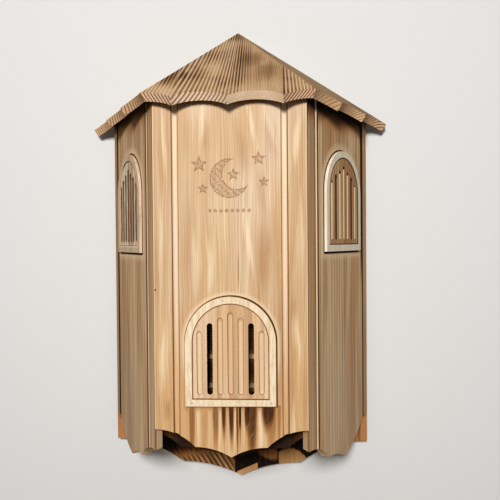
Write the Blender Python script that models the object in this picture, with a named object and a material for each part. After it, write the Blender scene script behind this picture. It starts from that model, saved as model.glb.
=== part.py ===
"""Half-hexagonal wooden bat house for a wall, with a scalloped roof and fluted arched grilles.

Metres, +Z up. The wall is the plane Y = 0 and the front faces -Y. The origin is on the rear
face of the back board, at the height of the feet of the two side windows.
"""

import math

import bmesh
import bpy
from mathutils import Matrix, Vector

# Shell
HEX_SIDE = 0.154            # outer width of the front panel, and half the width of the back board
WALL_T = 0.0095             # front and side panels, edge strips
BACK_T = 0.012
SEAT = 0.0003               # clearance between pieces that touch
JOINT_GAP = 0.0008          # open joint between a side panel and its edge strip
EDGE_STRIP_W = 0.014        # outer width left to an edge strip, its joint included
WALL_TOP_Z = 0.1551         # outer top edge of the walls, where the roof rests

# Scalloped lower edges. A point is (distance, height), from the middle of the front and back
# boards, and from the front corner of a side panel
FRONT_POINT = (0.0362, -0.194)
FRONT_CORNER_Z = -0.1765
FRONT_TIP_Z = -0.2042
BACK_POINT = (0.0725, -0.2605)
BACK_CORNER_Z = -0.233
BACK_TIP_Z = -0.277
SIDE_FRONT_Z = -0.198
SIDE_POINTS = ((0.0467, -0.218), (0.0864, -0.2298))
SIDE_REAR_Z = -0.1995
SIDE_REAR_BOW = 0.005       # how far the rear stretch of the edge swells past its chord
ARC_STEPS = 8

# Roof
EAVE_MARGIN = 0.008         # each end of an eave passes the corner of its wall by this
ROOF_T = 0.009
ROOF_SLOPE = math.radians(36.5)
EAVE_TIP = 0.011            # reach of the scallop's tips past its arches, down the slope
FRONT_EAVE_PITCH = 0.054    # from tip to tip; one tip is at the middle
SIDE_EAVE_PITCH = 0.0643
SIDE_EAVE_TIP_AT = 0.0215   # one tip's place from the middle of a side eave, towards the wall

# Routed flutes down the panels
FLUTE_W = 0.006
FLUTE_DEPTH = 0.0024
FRONT_FLUTE_EDGE = 0.0225   # centre line of a flute to the side of the front panel
SIDE_FLUTE_EDGE = 0.0205    # centre line of the flute to the front corner of a side panel

# Arched plaques: the front grille and the two side windows are one pattern
PLAQUE_W = 0.091
PLAQUE_SPRING = 0.064       # height of the straight sides below the round arch
PLAQUE_T = 0.003
PLAQUE_BAND = 0.0075        # width of the raised frame
FIELD_DEPTH = 0.0007
SLOT_W = 0.0058
SLOT_PITCH = 0.0103
SLOT_FOOT = 0.0118          # lower ends of the flutes above the foot of the plaque
SLOT_TOPS = (0.0936, 0.0883, 0.0830, 0.0751)       # from the middle flute outwards
SLOT_THROUGH = (False, False, True, False)         # which of them go right through
SLOT_DEPTH = 0.0013         # of a blind flute, below the field
WALL_SLOT_EXTRA = 0.0006    # the slot in the panel behind is wider than the plaque's by this
GRILLE_FOOT_Z = -0.1525
WINDOW_FOOT_Z = 0.0
WINDOW_NEAR_EDGE = 0.0375   # near side of a window plaque to the front corner

# Inner partitions and their climbing rungs
PARTITION_T = 0.006
PARTITION_TOP_Z = 0.125
PARTITION_NAMES = ("front", "middle", "rear")
PARTITION_POINT = (0.058, -0.207)
PARTITION_CORNER_Z = -0.192
PARTITION_TIP_Z = -0.2195
RUNG_H = 0.005
RUNG_D = 0.004
RUNG_PITCH = 0.0307
RUNG_FIRST_Z = -0.1406
RUNG_COUNT = 9
RUNG_END_GAP = 0.004
RUNG_EASE = 0.0008

# Worked out from the sizes above
S60 = math.sin(math.radians(60.0))
C60 = math.cos(math.radians(60.0))
BODY_D = HEX_SIDE * S60                      # front face to the back board
CENTRE = Vector((0.0, -BACK_T, 0.0))         # centre of the hexagon, in plan
FRONT_Y = -BACK_T - BODY_D
HALF_FRONT = HEX_SIDE / 2.0
SIDE_PANEL_W = HEX_SIDE - EDGE_STRIP_W
ROOF_SIDE = HEX_SIDE + 2.0 * EAVE_MARGIN     # at the tops of the eave's arches
APEX_Z = WALL_TOP_Z + BODY_D * math.tan(ROOF_SLOPE) + (ROOF_T + SEAT) / math.cos(ROOF_SLOPE)
APEX = Vector((0.0, -BACK_T, APEX_Z))
ROOF_RUN = ROOF_SIDE * S60 / math.cos(ROOF_SLOPE)    # apex to the eave's arches, down the slope
STOCK_TOP_Z = APEX_Z                                 # boards start this tall and are then cut
SIDE_ALONG = Vector((C60, S60, 0.0))                 # from its front corner to its rear end
RIGHT_CORNER = Vector((HALF_FRONT, FRONT_Y, 0.0))
CHAMBER = (BODY_D - WALL_T - len(PARTITION_NAMES) * PARTITION_T) / (len(PARTITION_NAMES) + 1)

# Stock that is cut away, and fineness of curves
OVERCUT = 0.001
ROOF_STOCK = BACK_T + ROOF_T + EAVE_TIP
FLUTE_FOOT_Z = BACK_TIP_Z
NOSE_STEPS = 6
MERGE = 1e-6

WOOD = {
    "wall_wood": ((0.60, 0.42, 0.25, 1.0), 0.62),
    "roof_wood": ((0.42, 0.27, 0.13, 1.0), 0.60),
    "plaque_wood": ((0.75, 0.60, 0.42, 1.0), 0.65),
    "inner_wood": ((0.40, 0.27, 0.16, 1.0), 0.75),
}


def clear_scene():
    for obj in list(bpy.data.objects):
        bpy.data.objects.remove(obj)


def wood(name):
    """One Principled BSDF for each kind of wood."""
    material = bpy.data.materials.get(name)
    if material is None:
        colour, roughness = WOOD[name]
        material = bpy.data.materials.new(name)
        material.use_nodes = True
        shader = material.node_tree.nodes["Principled BSDF"]
        shader.inputs["Base Color"].default_value = colour
        shader.inputs["Roughness"].default_value = roughness
        shader.inputs["Metallic"].default_value = 0.0
    return material


def add_object(name, bm, material_name):
    mesh = bpy.data.meshes.new(name)
    bmesh.ops.recalc_face_normals(bm, faces=bm.faces)
    bm.to_mesh(mesh)
    bm.free()
    obj = bpy.data.objects.new(name, mesh)
    bpy.context.scene.collection.objects.link(obj)
    obj.data.materials.append(wood(material_name))
    return obj


def hanging_arc(outer, inner):
    """Arc that leaves its outer end level and falls towards its inner end."""
    span = inner[0] - outer[0]
    drop = outer[1] - inner[1]
    radius = (span * span + drop * drop) / (2.0 * drop)
    sweep = math.asin(abs(span) / radius)
    points = []
    for step in range(1, ARC_STEPS + 1):
        angle = sweep * step / ARC_STEPS
        x = outer[0] + math.copysign(radius * math.sin(angle), span)
        z = outer[1] - radius * (1.0 - math.cos(angle))
        points.append((x, z))
    return points


def bowed_arc(start, end, bow):
    """Arc from start to end that swells to the right of its path by bow."""
    start_v = Vector(start)
    end_v = Vector(end)
    chord = end_v - start_v
    half = chord.length / 2.0
    radius = (half * half + bow * bow) / (2.0 * bow)
    side = Vector((chord.y, -chord.x)).normalized()
    centre = (start_v + end_v) / 2.0 - side * (radius - bow)
    half_angle = math.asin(half / radius)
    points = []
    for step in range(1, ARC_STEPS + 1):
        angle = -half_angle + 2.0 * half_angle * step / ARC_STEPS
        points.append(tuple(centre + side * radius * math.cos(angle)
                            + chord.normalized() * radius * math.sin(angle)))
    return points


def scalloped_foot(half_width, corner_z, point, tip_z):
    """Both halves of a bat-wing edge, from the left corner to the right one."""
    right = [(half_width, corner_z)]
    right += hanging_arc((half_width, corner_z), point)
    right += hanging_arc(point, (0.0, tip_z))
    left = [(-x, z) for x, z in right[:-1]]
    return left + right[::-1]


def board(outline, thickness, frame):
    """Extruded board: outline in local X and Z, thickness along local +Y, placed by frame."""
    bm = bmesh.new()
    verts = [bm.verts.new((x, 0.0, z)) for x, z in outline]
    face = bm.faces.new(verts)
    grown = bmesh.ops.extrude_face_region(bm, geom=[face])
    moved = [item for item in grown["geom"] if isinstance(item, bmesh.types.BMVert)]
    bmesh.ops.translate(bm, vec=(0.0, thickness, 0.0), verts=moved)
    bmesh.ops.transform(bm, matrix=frame, verts=bm.verts)
    return bm


def trim(bm, point, outward):
    """Cut away everything on the outward side of a plane, and close the cut."""
    geometry = list(bm.verts) + list(bm.edges) + list(bm.faces)
    bmesh.ops.bisect_plane(bm, geom=geometry, plane_co=point, plane_no=outward, clear_outer=True)
    rim = [edge for edge in bm.edges if edge.is_boundary]
    if rim:
        bmesh.ops.edgeloop_fill(bm, edges=rim)


def mirrored(source, name):
    """Left-hand twin of a finished right-hand piece, as an object of its own."""
    bpy.context.view_layer.update()
    depsgraph = bpy.context.evaluated_depsgraph_get()
    bm = bmesh.new()
    bm.from_mesh(source.evaluated_get(depsgraph).to_mesh())
    bmesh.ops.transform(bm, matrix=Matrix.Scale(-1.0, 4, (1.0, 0.0, 0.0)), verts=bm.verts)
    return add_object(name, bm, source.data.materials[0].name)


def wall_frame(corner, along):
    """Frame of a wall panel: X along its outer face, Y into the house, Z up."""
    inward = Vector((0.0, 0.0, 1.0)).cross(along)
    frame = Matrix((along, inward, Vector((0.0, 0.0, 1.0)))).transposed().to_4x4()
    frame.translation = corner
    return frame


FRONT_FRAME = wall_frame(Vector((0.0, FRONT_Y, 0.0)), Vector((1.0, 0.0, 0.0)))
SIDE_FRAME = wall_frame(RIGHT_CORNER, SIDE_ALONG)
GRILLE_FRAME = FRONT_FRAME @ Matrix.Translation((0.0, 0.0, GRILLE_FOOT_Z))
WINDOW_X = WINDOW_NEAR_EDGE + PLAQUE_W / 2.0
WINDOW_FRAME = SIDE_FRAME @ Matrix.Translation((WINDOW_X, 0.0, WINDOW_FOOT_Z))


def turned(vector, degrees):
    return Matrix.Rotation(math.radians(degrees), 3, 'Z') @ vector


def roof_underside(degrees):
    """Point and upward normal of a roof panel's underside; 0 is the front panel, 60 the right."""
    normal = turned(Vector((0.0, -math.sin(ROOF_SLOPE), math.cos(ROOF_SLOPE))), degrees)
    return APEX - normal * ROOF_T, normal


def trim_under_roof(bm, degrees):
    point, normal = roof_underside(degrees)
    trim(bm, point - normal * SEAT, normal)


def trim_hip(bm, degrees, side):
    """Mitre at the vertical plane through a hip; side 1 cuts away what lies past it, -1 before."""
    away = turned(Vector((1.0, 0.0, 0.0)), degrees) * side
    trim(bm, CENTRE - away * SEAT / 2.0, away)


def stadium(width, foot, top, centre_x):
    """Outline of a round-ended slot."""
    radius = width / 2.0
    points = []
    for end_z, start in ((foot + radius, 180.0), (top - radius, 0.0)):
        for step in range(ARC_STEPS + 1):
            angle = math.radians(start + 180.0 * step / ARC_STEPS)
            points.append((centre_x + radius * math.cos(angle), end_z + radius * math.sin(angle)))
    return points


def arch(width, foot, spring):
    """Outline of a round-headed opening that stands on foot."""
    radius = width / 2.0
    points = [(-radius, foot), (radius, foot)]
    for step in range(2 * ARC_STEPS + 1):
        angle = math.pi * step / (2 * ARC_STEPS)
        points.append((radius * math.cos(angle), spring + radius * math.sin(angle)))
    return points


def slot_list(through):
    """Centre and top of each flute that is open, or of each blind one, from left to right."""
    last = len(SLOT_TOPS) - 1
    return [(place * SLOT_PITCH, SLOT_TOPS[abs(place)]) for place in range(-last, last + 1)
            if SLOT_THROUGH[abs(place)] == through]


def round_nose(width, foot, top, centre_x, depth, surface_y):
    """Solid of a round-nosed cutter's path: it leaves a trough with a round floor and ends."""
    half = width / 2.0
    radius = (half * half + depth * depth) / (2.0 * depth)
    reach = (top - foot) / 2.0 - half
    profile = []
    for end, start in ((-reach, -90.0), (reach, 0.0)):
        for step in range(NOSE_STEPS + 1):
            angle = math.radians(start + 90.0 * step / NOSE_STEPS)
            profile.append((radius * math.cos(angle), 0.0, end + radius * math.sin(angle)))
    bm = bmesh.new()
    verts = [bm.verts.new(point) for point in profile]
    edges = [bm.edges.new(pair) for pair in zip(verts, verts[1:])]
    bmesh.ops.spin(bm, geom=verts + edges, cent=(0, 0, 0), axis=(0, 0, 1), angle=2.0 * math.pi,
                   steps=4 * NOSE_STEPS, use_merge=True, use_duplicate=False)
    bmesh.ops.remove_doubles(bm, verts=bm.verts, dist=MERGE)
    place = Matrix.Translation((centre_x, surface_y + depth - radius, (foot + top) / 2.0))
    bmesh.ops.transform(bm, matrix=place, verts=bm.verts)
    return bm


def joined(parts):
    """One mesh that holds several separate closed shapes."""
    whole = bmesh.new()
    for part in parts:
        mesh = bpy.data.meshes.new("part")
        part.to_mesh(mesh)
        part.free()
        whole.from_mesh(mesh)
        bpy.data.meshes.remove(mesh)
    return whole


def cutter(name, bm, frame):
    bmesh.ops.transform(bm, matrix=frame, verts=bm.verts)
    obj = add_object(name, bm, "inner_wood")
    obj.hide_render = True
    obj.display_type = 'WIRE'
    return obj


def cut(obj, tool):
    modifier = obj.modifiers.new(tool.name, 'BOOLEAN')
    modifier.operation = 'DIFFERENCE'
    modifier.solver = 'EXACT'
    modifier.object = tool


def open_slots(extra, near_y, far_y):
    """Prisms of the flutes that go right through, each wider and longer by extra."""
    slots = []
    for x, top in slot_list(True):
        outline = stadium(SLOT_W + extra, SLOT_FOOT - extra / 2.0, top + extra / 2.0, x)
        slots.append(board(outline, far_y - near_y, Matrix.Translation((0, near_y, 0))))
    return joined(slots)


def plaque(name, frame):
    """Arched plaque: a raised frame round a sunk field with seven round-nosed flutes."""
    face_y = -PLAQUE_T - SEAT
    obj = add_object(name, board(arch(PLAQUE_W, 0.0, PLAQUE_SPRING), PLAQUE_T,
                                 frame @ Matrix.Translation((0, face_y, 0))), "plaque_wood")
    field_outline = arch(PLAQUE_W - 2.0 * PLAQUE_BAND, PLAQUE_BAND, PLAQUE_SPRING)
    field = board(field_outline, FIELD_DEPTH + OVERCUT, Matrix.Translation((0, face_y - OVERCUT, 0)))
    cut(obj, cutter(name + "_field", field, frame))
    floor_y = face_y + FIELD_DEPTH
    blind = [round_nose(SLOT_W, SLOT_FOOT, top, x, SLOT_DEPTH, floor_y)
             for x, top in slot_list(False)]
    cut(obj, cutter(name + "_flutes", joined(blind), frame))
    cut(obj, cutter(name + "_slots", open_slots(0.0, face_y - OVERCUT, OVERCUT), frame))
    return obj


def panel_flute(name, centre_x, frame):
    """Long flute down a panel, open at both ends."""
    bm = round_nose(FLUTE_W, FLUTE_FOOT_Z, STOCK_TOP_Z, centre_x, FLUTE_DEPTH, 0.0)
    return cutter(name, bm, frame)


def front_panel():
    outline = scalloped_foot(HALF_FRONT, FRONT_CORNER_Z, FRONT_POINT, FRONT_TIP_Z)
    outline += [(HALF_FRONT, STOCK_TOP_Z), (-HALF_FRONT, STOCK_TOP_Z)]
    bm = board(outline, WALL_T, FRONT_FRAME)
    trim_hip(bm, 30.0, 1.0)
    trim_hip(bm, -30.0, -1.0)
    trim_under_roof(bm, 0.0)
    obj = add_object("front_panel", bm, "wall_wood")
    flute_x = HALF_FRONT - FRONT_FLUTE_EDGE
    cut(obj, panel_flute("front_flute_left", -flute_x, FRONT_FRAME))
    cut(obj, panel_flute("front_flute_right", flute_x, FRONT_FRAME))
    slots = open_slots(WALL_SLOT_EXTRA, -OVERCUT, WALL_T + OVERCUT)
    cut(obj, cutter("front_panel_slots", slots, GRILLE_FRAME))
    return obj


def right_side_panel():
    outline = [(0.0, SIDE_FRONT_Z)]
    stations = ((0.0, SIDE_FRONT_Z),) + SIDE_POINTS
    for outer, inner in zip(stations, stations[1:]):
        outline += hanging_arc(outer, inner)
    outline += bowed_arc(SIDE_POINTS[-1], (SIDE_PANEL_W, SIDE_REAR_Z), SIDE_REAR_BOW)
    outline += [(SIDE_PANEL_W, STOCK_TOP_Z), (0.0, STOCK_TOP_Z)]
    bm = board(outline, WALL_T, SIDE_FRAME)
    trim_hip(bm, 30.0, -1.0)
    trim_under_roof(bm, 60.0)
    obj = add_object("right_side_panel", bm, "wall_wood")
    cut(obj, panel_flute("side_flute", SIDE_FLUTE_EDGE, SIDE_FRAME))
    slots = open_slots(WALL_SLOT_EXTRA, -OVERCUT, WALL_T + OVERCUT)
    cut(obj, cutter("side_panel_slots", slots, WINDOW_FRAME))
    return obj


def right_edge_strip():
    """Narrow board that closes the corner between the side panel and the back board."""
    near = SIDE_PANEL_W + JOINT_GAP
    far = HEX_SIDE + WALL_T
    outline = [(near, SIDE_REAR_Z), (far, SIDE_REAR_Z), (far, STOCK_TOP_Z), (near, STOCK_TOP_Z)]
    bm = board(outline, WALL_T, SIDE_FRAME)
    trim(bm, Vector((0.0, -BACK_T - SEAT, 0.0)), Vector((0.0, 1.0, 0.0)))
    trim_under_roof(bm, 60.0)
    return add_object("right_edge_strip", bm, "wall_wood")


def back_board():
    outline = scalloped_foot(HEX_SIDE, BACK_CORNER_Z, BACK_POINT, BACK_TIP_Z)
    outline += [(HEX_SIDE, STOCK_TOP_Z), (-HEX_SIDE, STOCK_TOP_Z)]
    frame = Matrix.Translation((0.0, -BACK_T, 0.0))
    bm = board(outline, BACK_T, frame)
    trim_under_roof(bm, 60.0)
    trim_under_roof(bm, -60.0)
    return add_object("back_board", bm, "wall_wood")


def eave(reach, pitch, tip_at):
    """Scalloped lower edge of a roof panel, from tip to tip until it passes reach both ways."""
    half = pitch / 2.0
    radius = (half * half + EAVE_TIP * EAVE_TIP) / (2.0 * EAVE_TIP)
    first = math.floor((-reach - tip_at) / pitch)
    last = math.ceil((reach - tip_at) / pitch)
    points = []
    for number in range(first, last):
        middle = tip_at + (number + 0.5) * pitch
        for step in range(2 * ARC_STEPS):
            off = pitch * step / (2 * ARC_STEPS) - half
            rise = math.sqrt(radius * radius - off * off) - radius
            points.append((middle + off, rise - ROOF_RUN))
    points.append((tip_at + last * pitch, -ROOF_RUN - EAVE_TIP))
    return points


def roof_panel(name, degrees, pitch, tip_at):
    """Sloping board with a scalloped eave; each is mitred to its neighbour at the hip."""
    down = Vector((0.0, -math.cos(ROOF_SLOPE), -math.sin(ROOF_SLOPE)))
    inward = Vector((0.0, math.sin(ROOF_SLOPE), -math.cos(ROOF_SLOPE)))
    frame = Matrix((Vector((1.0, 0.0, 0.0)), inward, -down)).transposed().to_4x4()
    frame = Matrix.Rotation(math.radians(degrees), 4, 'Z') @ frame
    frame.translation = APEX
    edge = eave(ROOF_SIDE / 2.0 + ROOF_STOCK, pitch, tip_at)
    outline = edge + [(edge[-1][0], ROOF_STOCK), (edge[0][0], ROOF_STOCK)]
    bm = board(outline, ROOF_T, frame)
    if degrees == 0.0:
        trim_hip(bm, 30.0, 1.0)
        trim_hip(bm, -30.0, -1.0)
    else:
        trim_hip(bm, 30.0, -1.0)
        trim(bm, Vector((SEAT / 2.0, 0.0, 0.0)), Vector((-1.0, 0.0, 0.0)))
        trim(bm, Vector((0.0, 0.0, 0.0)), Vector((0.0, 1.0, 0.0)))
    return add_object(name, bm, "roof_wood")


def half_width_inside(y):
    """Half the clear width between the side walls at a given depth."""
    return HALF_FRONT + (y - FRONT_Y) * C60 / S60 - WALL_T / S60


def partition(index):
    """Roosting partition across the house, bevelled to the side walls, and its rungs."""
    label = PARTITION_NAMES[index]
    face_y = FRONT_Y + WALL_T + CHAMBER + index * (CHAMBER + PARTITION_T)
    wide = half_width_inside(face_y + PARTITION_T)
    outline = scalloped_foot(wide, PARTITION_CORNER_Z, PARTITION_POINT, PARTITION_TIP_Z)
    outline += [(wide, PARTITION_TOP_Z), (-wide, PARTITION_TOP_Z)]
    bm = board(outline, PARTITION_T, Matrix.Translation((0.0, face_y, 0.0)))
    for side in (1.0, -1.0):
        outward = Vector((side * S60, -C60, 0.0))
        corner = Vector((side * HALF_FRONT, FRONT_Y, 0.0))
        trim(bm, corner - outward * (WALL_T + SEAT), outward)
    add_object(label + "_partition", bm, "inner_wood")
    reach = half_width_inside(face_y - RUNG_D) - RUNG_END_GAP
    for number in range(RUNG_COUNT):
        z = RUNG_FIRST_Z + number * RUNG_PITCH
        add_object(f"{label}_rung_{number + 1}", rung(reach, face_y - SEAT, z), "inner_wood")


def rung(reach, rear_y, z):
    """Climbing strip with its front edges eased."""
    low, high = z - RUNG_H / 2.0, z + RUNG_H / 2.0
    outline = [(-reach, low), (reach, low), (reach, high), (-reach, high)]
    bm = board(outline, RUNG_D, Matrix.Translation((0.0, rear_y - RUNG_D, 0.0)))
    front = [edge for edge in bm.edges
             if all(vert.co.y < rear_y - RUNG_D / 2.0 for vert in edge.verts)]
    bmesh.ops.bevel(bm, geom=front, offset=RUNG_EASE, offset_type='OFFSET', affect='EDGES',
                    segments=1, profile=0.5, material=-1)
    return bm


def build():
    front_panel()
    mirrored(right_side_panel(), "left_side_panel")
    mirrored(right_edge_strip(), "left_edge_strip")
    back_board()
    roof_panel("front_roof_panel", 0.0, FRONT_EAVE_PITCH, 0.0)
    right_roof = roof_panel("right_roof_panel", 60.0, SIDE_EAVE_PITCH, SIDE_EAVE_TIP_AT)
    mirrored(right_roof, "left_roof_panel")
    plaque("front_grille", GRILLE_FRAME)
    mirrored(plaque("right_window", WINDOW_FRAME), "left_window")
    for index in range(len(PARTITION_NAMES)):
        partition(index)


clear_scene()
build()
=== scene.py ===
"""Looks of the half-hexagonal bat house: flamed softwood boards, plaques, brads, light and camera.

Metres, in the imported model's frame: the wall is the plane Y = 0, the front faces -Y, +Z is up.
A board's own axes run across its width, inward from its face and along its length.
"""

import math

import bmesh
import bpy
from mathutils import Matrix, Vector


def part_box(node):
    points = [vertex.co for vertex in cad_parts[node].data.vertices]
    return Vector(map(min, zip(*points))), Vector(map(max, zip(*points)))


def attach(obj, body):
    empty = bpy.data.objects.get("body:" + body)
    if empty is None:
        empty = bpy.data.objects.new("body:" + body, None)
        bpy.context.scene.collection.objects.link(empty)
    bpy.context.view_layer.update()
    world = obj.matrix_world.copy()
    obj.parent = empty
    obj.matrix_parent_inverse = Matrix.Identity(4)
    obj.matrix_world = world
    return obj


# View, fitted to the photograph
LENS = 40.58
SENSOR = 36.0
CAMERA_AT = Vector((0.0500, -0.70257, 0.0113))
YAW = -0.0537
PITCH = 0.0153
ROLL = -0.0079

# Sizes of the house that the finishes line up with
SIDE_TURN = 60.0
ROOF_SLOPE = 36.5
HALF_FRONT = 0.077
SIDE_PANEL_W = 0.140
FLUTE_W = 0.006
FRONT_FLUTE_EDGE = 0.0225   # from a flute's middle to the side of the front panel
SIDE_FLUTE_EDGE = 0.0205    # from a flute's middle to the front corner of a side panel
WINDOW_NEAR_EDGE = 0.0375
PLAQUE_W = 0.091
PLAQUE_SPRING = 0.064
PLAQUE_BAND = 0.0075
FIELD_FLOOR = -0.0026       # a plaque's sunk field stands this far off the panel behind it
SLOT_W = 0.0058
SLOT_PITCH = 0.0103
SLOT_FOOT = 0.0115
SLOT_HEAD = 0.0930
SLOT_STEP = 0.0056          # each flute ends this much lower than the one nearer the middle
OPEN_SLOT = 2.0             # the flutes this many places from the middle are open
EAVE_SHADE_Z = (0.142, 0.153)

# Light
KEY_AIM = Vector((0.0, -0.08, 0.0))
KEY_DISTANCE = 1.7
KEY_SIZE = 0.32
KEY_AZIMUTH = -2.0
KEY_ELEVATION = 19.0
KEY_LEVEL = 0.98
SKY_LEVEL = 0.08
REAR_SKY_LEVEL = 0.75
SKY_BLEND = (-0.1, 0.3)     # direction's Y where the sky goes from the front level to the rear one
SKY_SEEN = (238, 238, 236)

# Stage
WALL_GAP = 0.0003
WALL_TOP = 2.0
WALL_HALF = 2.6
FLOOR_Z = -0.80
COVE_RADIUS = 0.35
COVE_STEPS = 16
FLOOR_FRONT = -4.0
WALL_SEEN = (232, 231, 228)
WALL_THROWN = (165, 160, 152)
TOUCHING = (0.0016, 0.0012)  # the paint is clear to light from nearer than this

# Colours, as they look on the screen
CREAM = (246, 224, 186)
STRAW = (226, 196, 158)
PEACH = (214, 176, 136)
ROSE = (198, 160, 130)
HONEY = (190, 140, 92)
TOAST = (178, 118, 62)
UMBER = (98, 56, 24)
CHAR = (26, 14, 7)

NO_TURN = (0.0, 0.0, 0.0)
NOWHERE = (0.0, 0.0, 0.0)


def linear(colour):
    """Scene colour of a colour given as 0 to 255 on the screen."""
    out = []
    for value in colour:
        level = value / 255.0
        out.append(level / 12.92 if level <= 0.04045 else ((level + 0.055) / 1.055) ** 2.4)
    return tuple(out) + (1.0,)


class Signal:
    """A number that varies over a surface, with the arithmetic of the Math node."""

    def __init__(self, finish, socket):
        self.finish = finish
        self.socket = socket

    def math(self, operation, *others, clamp=False):
        node = self.finish.add("ShaderNodeMath", operation=operation, use_clamp=clamp)
        for socket, value in zip(node.inputs, (self,) + others):
            self.finish.feed(socket, value)
        return Signal(self.finish, node.outputs[0])

    def __add__(self, other):
        return self.math('ADD', other)

    def __sub__(self, other):
        return self.math('SUBTRACT', other)

    def __rsub__(self, other):
        return self.math('MULTIPLY_ADD', -1.0, other)

    def __mul__(self, other):
        return self.math('MULTIPLY', other)

    def __truediv__(self, other):
        return self.math('DIVIDE', other)

    def size(self):
        return self.math('ABSOLUTE')

    def least(self, other):
        return self.math('MINIMUM', other)

    def most(self, other):
        return self.math('MAXIMUM', other)

    def above(self, other):
        return self.math('GREATER_THAN', other)

    def clamped(self):
        return self.math('ADD', 0.0, clamp=True)

    def rise(self, low, high):
        """0 below low, 1 above high, smooth between; falls instead where high is the smaller."""
        node = self.finish.add("ShaderNodeMapRange", interpolation_type='SMOOTHSTEP')
        for name, value in (("Value", self), ("From Min", low), ("From Max", high)):
            self.finish.feed(node.inputs[name], value)
        return Signal(self.finish, node.outputs[0])

    def band(self, centre, half, soft):
        """1 within half of centre, fading to 0 over soft."""
        return (self - centre).size().rise(half + soft, half)


class Finish:
    """One material, and the nodes that make it."""

    def __init__(self, name):
        self.material = bpy.data.materials.new(name)
        self.material.use_nodes = True
        self.tree = self.material.node_tree
        self.shader = self.tree.nodes["Principled BSDF"]

    def add(self, kind, **settings):
        node = self.tree.nodes.new(kind)
        for key, value in settings.items():
            setattr(node, key, value)
        return node

    def feed(self, socket, value):
        if isinstance(value, Signal):
            self.tree.links.new(value.socket, socket)
        else:
            socket.default_value = value

    def board_axes(self, corner, turn):
        """Across, inward and along, as signals, for a board placed by corner and turn."""
        spot = self.add("ShaderNodeTexCoord").outputs["Object"]
        mapping = self.add("ShaderNodeMapping", vector_type='TEXTURE')
        mapping.inputs["Location"].default_value = corner
        mapping.inputs["Rotation"].default_value = [math.radians(angle) for angle in turn]
        self.tree.links.new(spot, mapping.inputs["Vector"])
        split = self.add("ShaderNodeSeparateXYZ")
        self.tree.links.new(mapping.outputs[0], split.inputs[0])
        return [Signal(self, socket) for socket in split.outputs]

    def facing(self, turn):
        """How much a face looks out of the board's front, from -1 to 1."""
        normal = self.add("ShaderNodeTexCoord").outputs["Normal"]
        front = Matrix.Rotation(math.radians(turn[2]), 3, 'Z')
        front = front @ Matrix.Rotation(math.radians(turn[0]), 3, 'X') @ Vector((0.0, -1.0, 0.0))
        node = self.add("ShaderNodeVectorMath", operation='DOT_PRODUCT')
        self.tree.links.new(normal, node.inputs[0])
        node.inputs[1].default_value = front
        return Signal(self, node.outputs["Value"])

    def point(self, x, y, z):
        node = self.add("ShaderNodeCombineXYZ")
        for socket, value in zip(node.inputs, (x, y, z)):
            self.feed(socket, value)
        return Signal(self, node.outputs[0])

    def noise(self, axes, scales, seed, detail=2.0, roughness=0.5):
        """Noise from 0 to 1, with so many cells per metre along each axis."""
        place = [axis * scale + seed for axis, scale in zip(axes, scales)]
        node = self.add("ShaderNodeTexNoise")
        self.feed(node.inputs["Vector"], self.point(*place))
        node.inputs["Scale"].default_value = 1.0
        node.inputs["Detail"].default_value = detail
        node.inputs["Roughness"].default_value = roughness
        return Signal(self, node.outputs[0])

    def chance(self, value):
        """A random number from 0 to 1 that is the same for equal values."""
        node = self.add("ShaderNodeTexWhiteNoise", noise_dimensions='1D')
        self.feed(node.inputs["W"], value)
        return Signal(self, node.outputs["Value"])

    def mix(self, factor, first, second):
        node = self.add("ShaderNodeMix", data_type='RGBA')
        self.feed(node.inputs[0], factor)
        for socket, value in ((node.inputs[6], first), (node.inputs[7], second)):
            self.feed(socket, value if isinstance(value, Signal) else linear(value))
        return Signal(self, node.outputs[2])

    def scaled(self, colour, factor):
        """A colour made lighter or darker by a factor that may pass 1."""
        node = self.add("ShaderNodeVectorMath", operation='SCALE')
        self.feed(node.inputs[0], colour)
        self.feed(node.inputs["Scale"], factor)
        return Signal(self, node.outputs[0])

    def nook(self, reach):
        """Painted shade: 0 in the open, towards 1 in corners and under edges that are nearer than reach."""
        node = self.add("ShaderNodeAmbientOcclusion", samples=6)
        node.inputs["Distance"].default_value = reach
        return 1.0 - Signal(self, node.outputs["AO"])

    def finish(self, colour, height, roughness, relief):
        self.feed(self.shader.inputs["Base Color"], colour)
        self.feed(self.shader.inputs["Roughness"], roughness)
        self.shader.inputs["Specular IOR Level"].default_value = 0.12
        bump = self.add("ShaderNodeBump")
        bump.inputs["Distance"].default_value = relief
        self.feed(bump.inputs["Height"], height)
        self.tree.links.new(bump.outputs[0], self.shader.inputs["Normal"])
        return self.material


def slant(x, y):
    """Distance that goes x one way and y square to it."""
    return (x * x + y * y).math('SQRT')


def by_stave(across, joints, values):
    """One value for each stave of a glued board, changing at its joints."""
    out = across * 0.0 + values[0]
    for joint, before, after in zip(joints, values, values[1:]):
        out = out + across.above(joint) * (after - before)
    return out


def arch_distance(across, along, half, foot, spring):
    """Distance outside a round-headed arch, and below 0 inside it."""
    round_part = slant(across, along - spring) - half
    square_part = (across.size() - half).most(foot - along)
    top = along.above(spring)
    return square_part + top * (round_part - square_part)


def strokes(across, along, marks):
    """Upright marks: top and foot as (across, along), half width and strength, the strongest one."""
    best = across * 0.0
    for top, foot, half, strength in marks:
        lean = (top[0] - foot[0]) / (top[1] - foot[1])
        off = (across - along * lean - (foot[0] - foot[1] * lean)).size()
        fade = (top[1] - foot[1]) * 0.45
        window = along.rise(foot[1], foot[1] + fade) * along.rise(top[1], top[1] - fade)
        best = best.most(off.rise(half * 1.6, half * 0.2) * window * strength)
    return best


def darken(finish, colour, amount, tone=UMBER, toast=TOAST):
    """Torch marks and painted shade: toasted, then umber, then char as amount goes from 0 to 1."""
    amount = amount.clamped()
    colour = finish.mix(amount.rise(0.0, 0.45) * 0.75, colour, toast)
    colour = finish.mix(amount.rise(0.25, 0.75), colour, tone)
    return finish.mix(amount.rise(0.65, 1.0), colour, CHAR)


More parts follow.
